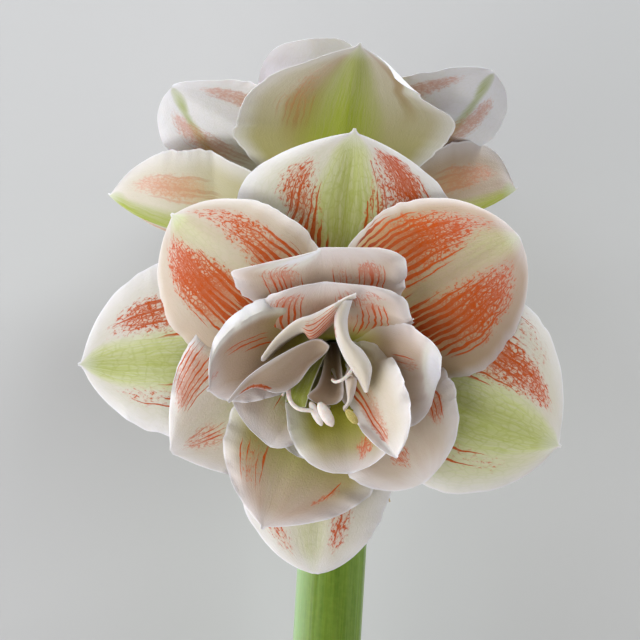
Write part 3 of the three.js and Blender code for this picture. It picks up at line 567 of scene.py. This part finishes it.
keelBand = [[(0, 0, 0.5, 1), (0.4, 0, 0.3, 1), (0.7, 0, 0.22, 0.9), (0.9, 0, 0.2, 0.9), (1, 0, 0.5, 1)]]
thinKeel = [[(0, 0, 0.4, 1), (0.4, 0, 0.14, 0.8), (0.8, 0, 0.07, 0.7), (0.95, 0, 0.1, 0.8), (1, 0, 0.4, 1)]]
rearRed = [[(0.4, 0.45, 0.15, 0), (0.6, 0.5, 0.25, 1), (0.85, 0.5, 0.2, 0.8), (0.95, 0.5, 0.1, 0)],
           [(0.4, -0.45, 0.15, 0), (0.6, -0.5, 0.25, 1), (0.85, -0.5, 0.2, 0.8), (0.95, -0.5, 0.1, 0)]]
rearOuter = [
    {**sepal, "az": 98, "tip": (84, 40), "half": (47, 43), "lean": (30, 80), "round": 0.85, "widest": 0.45,
     "fill": 0.7, "crease": 0.7, "lip": (0, 70), "lipSpan": (0.72, 1), "blush": 0.4,
     "pulls": [(1, 0.7, 0.4, 0.06, (-6, 0, 0)), (1, 0.56, 0.4, 0.12, (5, 0, 0))],
     # painted shade: the warm bands darken the parts of this sepal that lie in shade
     "warm": [[(0.5, 0.6, 0.08, 0), (0.78, 0.66, 0.09, 1), (0.96, 0.6, 0.14, 0.6)],
         [(0.3, -0.4, 0.2, 0), (0.6, -0.42, 0.2, 0.9), (0.92, -0.35, 0.15, 0.3)]],
     # painted highlight: the pale band whitens the lit reflexed flap
     "pale": [[(0.7, 0.88, 0.14, 0), (0.8, 0.9, 0.2, 0.9), (0.97, 0.85, 0.3, 0.9)]],
     "keel": [[(0, 0, 0.6, 1), (0.5, 0, 0.42, 0.95), (0.8, 0, 0.36, 0.8), (0.95, 0, 0.4, 0.7),
          (1, 0, 0.5, 0.9)]],
     # the olive wash toward the base is partly the tepal's own green and partly painted shade
     "wash": [[(0, 0, 2.5, 0.8), (0.4, 0, 2.2, 0.6), (0.7, 0, 1.4, 0.35), (1, 0, 0.8, 0.2)]],
     "red": [[(0.4, -0.45, 0.15, 0), (0.6, -0.5, 0.25, 0.5), (0.85, -0.5, 0.2, 0.4), (0.95, -0.5, 0.1, 0)]]},
    {**sepal, "az": 356, "tip": (97, 24), "half": (34, 37), "lean": (92, 45), "round": 0.5, "roll": 45,
     "widest": 0.55, "fill": 0.7, "fold": (110, 0), "cup": (10, 0), "blush": 0.3, "keel": keelBand,
     "red": rearRed,
     "wash": [[(0, 0, 2, 0.7), (0.5, 0, 2, 0.4), (0.8, 0, 1.5, 0.1), (1, 0, 1, 0)]]},
    {**sepal, "az": 190, "tip": (83, 32), "half": (34, 34), "lean": (80, 50), "round": 0.35, "roll": -45,
     "widest": 0.6, "fill": 0.8, "fold": (0, 110), "cup": (0, 10), "keel": keelBand, "red": rearRed,
     "blush": 0.8},
    # painted light: the next three tepals take a blush below 0, whitening them as if lit through from
    # behind, over their own white
    {**petal, "az": 38, "tip": (86, 40), "half": (40, 25), "lean": (13, 76), "cup": (5, 0),
     "pulls": [(0.9, 0.55, 0.6, 0.35, (0, 0, 8))], "curl": (0, -15), "round": 0.6, "red": rearRed,
     "blush": -0.8,
     "keel": [[(0.3, -0.8, 0.1, 0.5), (0.6, -0.6, 0.1, 0.6), (0.85, -0.3, 0.08, 0.7), (1, 0, 0.3, 1)]]},
    {**petal, "az": 140, "tip": (90, 44), "half": (25, 38), "lean": (13, 76), "cup": (0, 5),
     "pulls": [(-0.9, 0.55, 0.6, 0.35, (0, 0, 8))], "curl": (-15, 0), "round": 0.6, "red": rearRed,
     "blush": -1.1,
     "keel": [[(0.3, 0.7, 0.1, 0.5), (0.6, 0.5, 0.1, 0.6), (0.85, 0.25, 0.08, 0.7), (1, 0, 0.3, 1)]]},
    {**petal, "az": 270, "tip": (47, 66), "half": (38, 38), "lean": (75, -15), "cup": (-12, -12),
     "curl": (0, 0), "keel": thinKeel, "red": rearRed, "blush": -1},
]
rearMiddle = [
    # painted light: this tepal's blush below 0 whitens it as if lit through from behind, over its own white
    {**middle, "az": 80, "tip": (52, 67), "half": (28, 26), "lean": (0, 70), "round": 0.4, "cup": (20, 20),
     "blush": -1},
    {**middle, "az": 345, "tip": (50, 60), "half": (24, 22), "lean": (0, 70), "cup": (20, 20)},
    {**middle, "az": 200, "tip": (50, 60), "half": (22, 24), "lean": (0, 70), "cup": (20, 20)},
    {**middle, "az": 285, "tip": (30, 62), "half": (22, 24), "lean": (10, 20), "cup": (20, 20)},
]
rearInner = [
    {**inner, "az": 110, "tip": (38, 62), "half": (20, 20), "lean": (0, 65)},
    {**inner, "az": 35, "tip": (38, 62), "half": (20, 20), "lean": (0, 65)},
    {**inner, "az": 165, "tip": (36, 60), "half": (20, 20), "lean": (0, 65)},
    {**inner, "az": 270, "tip": (22, 60), "half": (20, 20), "lean": (5, 30)},
    {**petaloid, "az": 75, "tip": (18, 60), "half": (14, 16), "lean": (0, 45), "cup": (15, 15)},
    {**petaloid, "az": 220, "tip": (18, 58), "half": (12, 12), "lean": (0, 60), "cup": (10, 10)},
]

tepalForm = {
    "thickness": 0.7, "margin": 0.18, "thinOver": 6, "leastThick": 0.15, "tipward": 0.8, "spinePoints": 160,
    "rootHalf": 5, "tipHalf": 1.2, "shoulder": 2.2, "openBy": 0.45, "creaseWidth": 0.06, "sectionSteps": 24,
    "ragged": 0.04, "fineRagged": 0.025, "swell": 0.7, "grooveHalf": 3.5, "veinShare": 0.85,
    "finerVeins": 0.15,
}


def direction(angle):
    return Vector((math.sin(math.radians(angle)), math.cos(math.radians(angle)), 0))


def spineOf(row):  # a function of s that gives the spine's place and heading as (reach, rise)
    root = Vector((*row["root"], 0))
    tip = Vector((*row["tip"], 0))
    leanRoot, leanTip = row["lean"]
    pullRoot, pullTip = row["pull"]
    chord = (tip - root).length
    points = interpolate_bezier(
        root, root + direction(leanRoot) * chord * pullRoot,
        tip - direction(leanTip) * chord * pullTip, tip, tepalForm["spinePoints"],
    )
    points.append(tip + direction(leanTip) * row["nib"])
    lengths = [0]
    for a, b in zip(points, points[1:]):
        lengths.append(lengths[-1] + (b - a).length)

    def at(s):
        target = s * lengths[-1]
        k = min(max(bisect_left(lengths, target), 1), len(points) - 1)
        part = (target - lengths[k - 1]) / (lengths[k] - lengths[k - 1])
        return points[k - 1].lerp(points[k], part), (points[k] - points[k - 1]).normalized()

    return at, lengths[-1]


def sided(value, side):  # a value that may be given for each side
    return value[side] if isinstance(value, tuple) else value


def widthAt(row, s, bodyEnd, side):  # share of the half width
    widest = row["widest"]
    if s <= widest:
        return math.sin(s / widest * math.pi / 2) ** sided(row["fill"], side)
    x = min(1, (s - widest) / (bodyEnd - widest))
    return max(0, 1 - x ** tepalForm["shoulder"]) ** sided(row["round"], side)


def bendAcross(v, fold, cup, curl, lip, crease):  # the section's point at v, as shares of the half width
    across = depth = 0
    steps = tepalForm["sectionSteps"]
    for k in range(steps):
        t = abs(v) * (k + 0.5) / steps
        turned = min(1, max(0, (t - crease) / tepalForm["creaseWidth"]))
        angle = math.radians(fold + cup * t + curl * t ** 4 - lip * turned)
        across += math.cos(angle) * abs(v) / steps
        depth += math.sin(angle) * abs(v) / steps
    return math.copysign(across, v), depth


def between(s, low, high, rise=0.14, fall=0.14):  # 1 inside the span, falling to 0 at its ends
    return min(1, max(0, (s - low) / rise)) * min(1, max(0, (high - s) / fall))


def bandAt(bands, v, s):
    strongest = 0
    for band in bands:
        if not band[0][0] <= s <= band[-1][0]:
            continue
        k = max(1, next(i for i, knot in enumerate(band) if s <= knot[0]))
        low, high = band[k - 1], band[k]
        part = (s - low[0]) / (high[0] - low[0])
        centre, spread, strength = (low[i] + (high[i] - low[i]) * part for i in (1, 2, 3))
        strongest = max(strongest, strength * max(0, 1 - ((v - centre) / spread) ** 2))
    return strongest


def tepalSurface(row, seed):  # a function of v and s that gives a point and how far it is from the margin
    form = tepalForm
    spine, length = spineOf(row)
    bodyEnd = 1 - row["nib"] / length
    azimuth = math.radians(row["az"])
    outward = Vector((math.cos(azimuth), math.sin(azimuth), 0))
    sideways = Vector((-math.sin(azimuth), math.cos(azimuth), 0))
    axis = Vector((0, 0, 1))

    def at(v, s):
        place, heading = spine(s)
        along = outward * heading.x + axis * heading.y
        inward = axis * heading.x - outward * heading.y
        side = 0 if v < 0 else 1
        fold, cup, curl, lip = (row[name][side] for name in ("fold", "cup", "curl", "lip"))
        nibbed = max(0, (s - bodyEnd) / (1.001 - bodyEnd))
        narrowest = form["rootHalf"] if s < 0.5 else form["tipHalf"] * (1 - 0.6 * nibbed)
        slow = noise.noise(Vector((s * 7, seed, side * 9)))
        quick = noise.noise(Vector((s * 23, seed, side)))
        ragged = 1 + (form["ragged"] * slow + form["fineRagged"] * quick) * min(1, 4 * (1 - s))
        half = max(row["half"][side] * widthAt(row, s, bodyEnd, side) * ragged, narrowest)
        opened = min(1, s / form["openBy"])
        cup = row["cupBase"] + (cup - row["cupBase"]) * opened
        lip *= between(s, *row["lipSpan"])
        across, depth = bendAcross(v, fold * opened, cup, curl * opened, lip, row["crease"])
        roll = math.radians(row["roll"] * opened)
        aside = sideways * math.cos(roll) + inward * math.sin(roll)
        inward = inward * math.cos(roll) - sideways * math.sin(roll)
        fade = min(1, 2 * s) * min(1, 6 * (1 - s))  # flat at the root and the tip
        phase = 4 * math.pi * s + azimuth * 3 + (1.9 if v >= 0 else 0)
        lift = row["wave"] * abs(v) ** 2.5 * math.sin(phase) * fade
        slow = noise.noise(Vector((s * 11, seed * 3.1, side * 5)))
        quick = noise.noise(Vector((s * 27, seed * 3.1, v * 3)))
        lift += row["ruffle"] * abs(v) ** 5 * (slow + quick * 0.5) * fade * 2
        lift += form["swell"] * noise.noise(Vector((v * 2.2, s * 3.5, seed * 7.3))) * fade
        lift -= row["groove"] * math.exp(-((v * half / form["grooveHalf"]) ** 2)) * fade
        point = outward * place.x + axis * place.y + aside * (across * half) + inward * (depth * half + lift)
        for atV, atS, spreadV, spreadS, (over, onward, raised) in row["pulls"]:
            share = math.exp(-((v - atV) / spreadV) ** 2 - ((s - atS) / spreadS) ** 2)
            point += (aside * over + along * onward + inward * raised) * share
        return point, min((1 - abs(v)) * half, (1 - s) * length)

    return at, row["half"], length


def smoothThrough(points, t):  # the point at the share t along a smooth line through the points
    last = len(points) - 1
    k = min(int(t * last), last - 1)
    part = t * last - k
    a, b, c, d = points[max(k - 1, 0)], points[k], points[k + 1], points[min(k + 2, last)]
    return b + 0.5 * part * (c - a + part * (2 * a - 5 * b + 4 * c - d + part * (3 * (b - c) + d - a)))


def ribbonSurface(row, seed):
    stations = [[Vector(point) for point in station] for station in row["stations"]]
    length = sum((b[1] - a[1]).length for a, b in zip(stations, stations[1:]))
    half = max((station[0] - station[2]).length for station in stations) / 2

    def at(v, s):
        edge, centre, other = (smoothThrough([station[k] for station in stations], s) for k in range(3))
        t = (v + 1) / 2
        point = edge * (1 - t) ** 2 + (centre * 2 - (edge + other) / 2) * 2 * t * (1 - t) + other * t ** 2
        fade = min(1, 5 * s) * min(1, 5 * (1 - s))
        crinkle = noise.noise(Vector((s * 9, seed, v * 2)))
        point += Vector((0, 0, 1)) * row["ruffle"] * abs(v) ** 3 * crinkle * fade * 2
        return point, min((1 - abs(v)) * (edge - other).length / 2, min(s, 1 - s) * length)

    return at, (half, half), length


def shapeTepal(tepal, row, seed):  # a flat grid becomes the tepal's middle surface, with its colours' places
    form = tepalForm
    row = {**tepalDefaults, **row}
    ribbon = "stations" in row
    mesh = tepal.data
    surface, halves, length = (ribbonSurface if ribbon else tepalSurface)(row, seed)
    marks = {name: [] for name in tepalMarks}
    thick = tepal.vertex_groups.new(name="thick")
    shares = []
    for vertex in mesh.vertices:
        v = vertex.co.x
        s = ((vertex.co.y + 1) / 2) ** form["tipward"]
        shares.append((v, s))
        vertex.co, edge = surface(v, s)
        heart = 0 if ribbon else min(1, max(0, (row["heart"] + 0.2 - s) / 0.45))
        bands = ("red", "green", "wash", "keel", "warm", "pale")
        red, green, wash, keel, warm, pale = (bandAt(row[name], v, s) for name in bands)
        # painted shade from the warm bands adds to the beige; a painted highlight from the pale bands takes
        # from it
        blush = row["blush"] + (warm - 2 * pale)
        rim = max(0, 1 - edge / row["rimWide"])
        values = (red, green, max(heart, wash), blush, rim, row.get("reach", s), 0, keel, row["stripy"])
        for name, value in zip(tepalMarks, values):
            marks[name].append(value)
        least = form["leastThick"]
        thick.add([vertex.index], least + (1 - least) * min(1, edge / form["thinOver"]), "REPLACE")
    for name, values in marks.items():
        mesh.attributes.new(name, "FLOAT", "POINT").data.foreach_set("value", values)
    uv = mesh.uv_layers[0]
    uv.name = "vein"
    wide = [half * form["veinShare"] for half in halves]
    fine = 1 + row["stripy"] * form["finerVeins"]
    for loop, entry in zip(mesh.loops, uv.data):
        v, s = shares[loop.vertex_index]
        entry.uv = (v * wide[0 if v < 0 else 1] * fine + seed * 60, s * length + seed * 31)


def makeWhorl(name, bloom, rows, across, along, seed, *stoodFor):
    tepals = []
    for k, row in enumerate(rows):
        bpy.ops.mesh.primitive_grid_add(x_subdivisions=across, y_subdivisions=along, size=2)
        tepals.append(bpy.context.object)
        shapeTepal(tepals[-1], row, seed + k)
    selectOnly(*tepals)
    bpy.ops.object.join()
    whorl = bpy.context.object
    whorl.data.transform(bloomPlace(bloom))
    one = len(whorl.data.vertices)
    front = [vertex.co.copy() for vertex in whorl.data.vertices]
    applyModifier(
        whorl, "SOLIDIFY", thickness=tepalForm["thickness"] * mm, offset=0, vertex_group="thick",
        thickness_vertex_group=tepalForm["margin"], use_even_offset=False,
    )
    back = whorl.data.attributes["back"].data
    normals = [vertex.normal for vertex in whorl.data.vertices]
    outside = sum((whorl.data.vertices[k].co - front[k]).dot(normals[k]) > 0 for k in range(one)) > one / 2
    if "stations" not in rows[0]:
        for k in range(len(back)):
            back[k].value = float((k < one) == outside)
    print(name, len(whorl.data.polygons), "faces", outside)
    return finishPiece(whorl, name, tepalSkin, "tepal", *stoodFor)


whorls = [  # name, rows, faces across a tepal, faces along it, first seed
    ("front_outer_tepals", frontOuter, 56, 68, 1),
    ("front_middle_tepals", frontMiddle, 44, 48, 11),
    ("front_inner_tepals", frontInner, 40, 44, 21),
    ("front_heart_petaloids", list(frontHeart.values()), 20, 48, 31),
    ("rear_outer_tepals", rearOuter, 52, 60, 41),
    ("rear_middle_tepals", rearMiddle, 32, 36, 51),
    ("rear_inner_tepals", rearInner, 26, 30, 61),
]
for name, *sizes in whorls:
    bloom = name.split("_")[0]
    makeWhorl(name, bloom, *sizes, bloom + "_bloom")

# Throats: the short tube that each bloom's tepals grow from

throat = {
    "profile": [
        (3.6, -11), (5.6, -8.5), (6.8, -3), (9, 4), (11, 12), (11.4, 20), (10.6, 21), (9.6, 19), (7.5, 8),
        (3.5, -1),
    ],
    "sides": 48,
}


def makeThroat(name, bloom, stoodFor):
    (radius, height), *rest = throat["profile"]
    bpy.ops.mesh.primitive_circle_add(
        vertices=throat["sides"], radius=radius, fill_type="NGON", location=(0, 0, height)
    )
    tube = bpy.context.object
    bpy.ops.object.transform_apply(location=True)
    bpy.ops.object.mode_set(mode="EDIT")
    bpy.ops.mesh.select_all(action="SELECT")
    for nextRadius, nextHeight in rest:
        pushUp(nextHeight - height, nextRadius / radius)
        radius, height = nextRadius, nextHeight
    bpy.ops.mesh.select_all(action="SELECT")
    bpy.ops.mesh.normals_make_consistent(inside=False)
    bpy.ops.object.mode_set(mode="OBJECT")
    keepOwn(tube)
    tube.data.transform(bloomPlace(bloom))
    applyModifier(tube, "SUBSURF", levels=1, render_levels=1)
    finishPiece(tube, name, throatSkin, "tepal", stoodFor)


makeThroat("front_throat", "front", "front_bloom")
makeThroat("rear_throat", "rear", "rear_bloom")
print("throats made")

# Stem, from its cut end up to the umbel; modelled upright from the cut, then laid down

stem = {
    "length": 320, "cutRadius": 14.6, "topRadius": 14, "bore": 10, "boreDepth": 34, "bevel": 1.5,
    "sides": 96, "rings": 79, "skin": 0.8, "sunk": 0.3, "lip": 0.6, "lipSunk": 0.8, "domeFrom": 5,
    "dome": [(2.5, 0.75), (1, 0.4)], "ribs": 18, "ribHeight": 0.1, "unevenness": 0.12,
}


def makeStem():
    middle = (0, 0, stem["length"] / 2)
    bpy.ops.mesh.primitive_cylinder_add(
        vertices=stem["sides"], radius=stem["cutRadius"], depth=stem["length"], location=middle
    )
    tube = bpy.context.object
    bpy.ops.object.transform_apply(location=True)
    mesh = tube.data
    mesh.materials.append(stemSkin)
    mesh.materials.append(fleshSkin)
    height = [vertex.co.z for vertex in mesh.vertices]
    pick(tube, "EDGE", lambda edge: abs(height[edge.vertices[0]] - height[edge.vertices[1]]) > 1)
    bpy.ops.mesh.subdivide(number_cuts=stem["rings"])
    pick(tube, "FACE", lambda face: face.normal.z < -0.9)  # the cut end
    tube.active_material_index = 1
    bpy.ops.object.material_slot_assign()
    wall = stem["cutRadius"] - stem["bore"] - stem["skin"] - stem["lip"]
    bpy.ops.mesh.inset(thickness=stem["skin"], depth=-stem["sunk"])
    bpy.ops.mesh.inset(thickness=wall, depth=0)
    bpy.ops.mesh.inset(thickness=stem["lip"], depth=-stem["lipSunk"])
    for rise, share in [(stem["boreDepth"] - stem["domeFrom"], 1), *stem["dome"]]:
        pushUp(rise, share)
    pick(tube, "FACE", lambda face: face.normal.z > 0.9 and face.center.z > stem["length"] - 1)  # the top
    bpy.ops.mesh.inset(thickness=stem["bevel"], depth=0)
    bpy.ops.object.mode_set(mode="OBJECT")
    for vertex in mesh.vertices:
        place = vertex.co
        radius = math.hypot(place.x, place.y)
        taper = 1 + (stem["topRadius"] / stem["cutRadius"] - 1) * place.z / stem["length"]
        angle = math.atan2(place.y, place.x)
        uneven = noise.noise(Vector((place.x / 6, place.y / 6, place.z / 60)))
        ribs = stem["ribHeight"] * math.cos(stem["ribs"] * angle + 0.3) + stem["unevenness"] * uneven
        if radius > stem["bore"] + 2:  # outside the hollow
            taper *= 1 + ribs / stem["cutRadius"]
        if radius > stem["topRadius"] - 0.5 and place.z > stem["length"] - 1:
            place.z -= stem["bevel"] * 0.5
        place.x *= taper
        place.y *= taper
        place.z -= stem["length"]
    keepOwn(tube)
    mesh.transform(scape @ turned(-90, 0, 0))
    finishPiece(tube, "flower_stem", stemSkin, "stem", "stem")
    print("stem", len(mesh.polygons), "faces")


makeStem()

# Stalks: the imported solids, rounded


def makeStalk(name, node):
    source = nodes[node]
    tube = source.copy()
    tube.data = source.data.copy()
    tube.parent = None
    for key in list(tube.keys()):
        del tube[key]
    tube.data.materials.clear()
    tube.data.materials.append(stalkSkin)
    bpy.context.scene.collection.objects.link(tube)
    tube.hide_render = tube.hide_viewport = False
    selectOnly(tube)
    bpy.ops.object.mode_set(mode="EDIT")
    bpy.ops.mesh.select_all(action="SELECT")
    bpy.ops.mesh.remove_doubles(threshold=0.00005)
    bpy.ops.mesh.tris_convert_to_quads()
    bpy.ops.mesh.select_mode(type="EDGE")
    bpy.ops.mesh.select_all(action="DESELECT")
    bpy.ops.mesh.edges_select_sharp(sharpness=math.radians(50))
    bpy.ops.transform.edge_crease(value=1)  # keeps the ends flat against the stem and the throat
    bpy.ops.object.mode_set(mode="OBJECT")
    applyModifier(tube, "SUBSURF", levels=2, render_levels=2)
    keepOwn(tube, plant.inverted())
    finishPiece(tube, name, stalkSkin, "stalk", node)


makeStalk("front_flower_stalk", "front_stalk")
makeStalk("rear_flower_stalk", "rear_stalk")
print("stalks made")

# Bracts: dry, papery, hanging from the rim of the stem's top

bract = {
    "root": (15.6, 0), "tip": (23, -50), "lean": (180, 158), "half": (11, 10), "widest": 0.3, "round": 1.1,
    "fill": 0.5, "cupBase": -46, "cup": (-38, -30), "curl": (-25, -35), "wave": 1.6, "ruffle": 2.5,
}
bractDrop = 2


def makeBract(name, azimuth, node):
    bpy.ops.mesh.primitive_grid_add(x_subdivisions=24, y_subdivisions=48, size=2)
    sheet = bpy.context.object
    shapeTepal(sheet, {**bract, "az": azimuth}, azimuth / 20 + 3)
    sheet.data.transform(turned(-90, 0, 0))
    keepOwn(sheet)
    sheet.data.transform(scape @ Matrix.Translation((0, -bractDrop, 0)))
    applyModifier(sheet, "SOLIDIFY", thickness=0.4 * mm, offset=0)
    finishPiece(sheet, name, bractSkin, "bract", node)


makeBract("left_dry_bract", 180, "left_bract")
makeBract("right_dry_bract", 0, "right_bract")
print("bracts made")

# Filaments and anther

# Filaments and the claws of the petaloids: points from the throat up, then the radius at each end
threads = {
    "left filament": (
        [(-4, -3, 10), (-13, -9, 36), (-15.5, -15, 49), (-12.5, -19.5, 51.5), (-6, -21, 51)], 1, 0.8,
    ),
    "hooked filament": (
        [(3, -1, 10), (10, 0, 40), (10, -3, 49), (7, -7.5, 52), (3, -9.5, 51), (1.5, -9, 49)], 0.9, 0.6,
    ),
    "spoon claw": ([(-6, -4, 12), (-14, -15, 26), (-19, -20, 38), (-16, -8, 47)], 1.3, 0.8),
    "ribbon claw": ([(5, 2, 12), (9, 1, 34), (12, -2, 52), (12, -3, 56)], 1.8, 1.6),
    "striped claw": ([(-3, 5, 12), (-6, 9, 24), (-7, 10, 36), (-7, 10, 44)], 2, 1.6),
    "broad claw": ([(2, -3, 10), (6, -5, 28), (8, -6, 42), (8.7, -8, 50)], 1.1, 1),
}
threadMesh = {"around": 5, "along": 14}
lobes = [((-7, -17.5, 50), (-2.5, -27, 49.5), 1.6), ((-3.5, -17.5, 52), (1.8, -27, 51), 2.1)]
anther = {"from": (7.2, -20, 53.6), "to": (11.4, -25.6, 53), "radius": 1.5}
podForm = {"segments": 32, "rings": 24, "furrowWidth": 0.28, "backFurrow": 0.4, "broad": 1.1, "bumps": 0.05}


def makeThreads():
    made = []
    for points, thick, thin in threads.values():
        bpy.ops.curve.primitive_bezier_curve_add()
        thread = bpy.context.object
        spline = thread.data.splines[0]
        spline.bezier_points.add(len(points) - 2)
        for k, place in enumerate(points):
            knot = spline.bezier_points[k]
            knot.co = place
            knot.handle_left_type = knot.handle_right_type = "AUTO"
            knot.radius = thick + (thin - thick) * k / (len(points) - 1)
        thread.data.bevel_depth = 1
        thread.data.bevel_resolution = threadMesh["around"]
        thread.data.use_fill_caps = True
        thread.data.resolution_u = threadMesh["along"]
        selectOnly(thread)
        bpy.ops.object.convert(target="MESH")
        made.append(bpy.context.object)
    selectOnly(*made)
    bpy.ops.object.join()
    piece = bpy.context.object
    keepOwn(piece)
    piece.data.transform(bloomPlace("front"))
    finishPiece(piece, "front_filaments", filamentSkin, "tepal", "front_bloom")


def lobeAlong(start, end, radius, furrow):  # a rounded pod from start to end, with a furrow down one side
    form = podForm
    start, end = Vector(start), Vector(end)
    bpy.ops.mesh.primitive_uv_sphere_add(segments=form["segments"], ring_count=form["rings"], radius=1)
    pod = bpy.context.object
    long = (end - start).length / 2
    for vertex in pod.data.vertices:
        place = vertex.co
        deep = 1 if place.y < 0 else form["backFurrow"]
        pinch = 1 - furrow * math.exp(-((place.x / form["furrowWidth"]) ** 2)) * deep
        bumps = 1 + form["bumps"] * noise.noise(place * 4)
        broad = place.x * radius * form["broad"]
        vertex.co = Vector((broad, place.y * radius * pinch, place.z * long)) * bumps
    keepOwn(pod)
    pod.data.transform(
        bloomPlace("front") @ Matrix.Translation((start + end) / 2)
        @ (end - start).to_track_quat("Z", "Y").to_matrix().to_4x4()
    )
    return pod


def makeAnthers():
    pale = [lobeAlong(start, end, radius, 0.1) for start, end, radius in lobes]
    selectOnly(*pale)
    bpy.ops.object.join()
    finishPiece(bpy.context.object, "front_pale_anther", filamentSkin, "tepal", "front_bloom")
    pod = lobeAlong(anther["from"], anther["to"], anther["radius"], 0.3)
    finishPiece(pod, "front_pollen_anther", pollenSkin, "anther", "front_anther")


makeThreads()
makeAnthers()
print("stamens made")

# Floor and light

studio = {"floor": (0.56, 0.565, 0.58), "horizon": (0.78, 0.79, 0.82), "zenith": (0.31, 0.285, 0.265)}


def makeFloor():
    bpy.ops.mesh.primitive_plane_add(size=8)
    floor = bpy.context.object
    floor.name = "floor"
    material, start = newMaterial("pale floor", {"Roughness": 0.9, "Specular IOR Level": 0.2})
    spots = start.node("TexCoord", {}, out=3).clouds(3, 3)
    floor.data.materials.append(feed(material, colour=spots.mix(
        tuple(value * 0.97 for value in studio["floor"]), studio["floor"]
    )))
    floor.select_set(False)


lamps = {  # place, target, size, energy, colour
    "window": ((-1.2, -1, 0.7), (0, 0.1, 0.1), 1.6, 15.5, (1, 0.98, 0.95)),
    "left_side": ((-1.6, -0.1, 0.6), (0, 0.1, 0.1), 1.2, 7.5, (0.95, 0.97, 1)),
    "left_back": ((-1.2, 1, 0.7), (0, 0.1, 0.1), 1.2, 12.5, (0.93, 0.97, 1)),
    "right_back": ((0.9, 1.3, 0.8), (0, 0.15, 0.1), 1, 21, (0.95, 1, 0.98)),
}


def addLight(name, place, target, size, energy, colour):
    bpy.ops.object.light_add(type="AREA", location=place)
    light = bpy.context.object
    light.name = name
    light.data.shape = "DISK"
    light.data.size = size
    light.data.energy = energy
    light.data.color = colour
    light.rotation_euler = (Vector(place) - Vector(target)).to_track_quat("Z", "Y").to_euler()


makeFloor()
for name, lamp in lamps.items():
    addLight(name, *lamp)
print("lamps set")

world = bpy.data.worlds.new("pale room")  # brighter near the horizon than overhead
bpy.context.scene.world = world
world.use_nodes = True
sky = world.node_tree.nodes["Background"]
seen = Signal(world.node_tree, sky.outputs[0]).node("TexCoord", {})
height = seen.node("SeparateXYZ", {0: seen}, out=2).step(0, 0.8)
glow = height.mix(studio["horizon"], studio["zenith"])
world.node_tree.links.new(glow.socket, sky.inputs["Color"])
bpy.context.scene.view_settings.view_transform = "Standard"
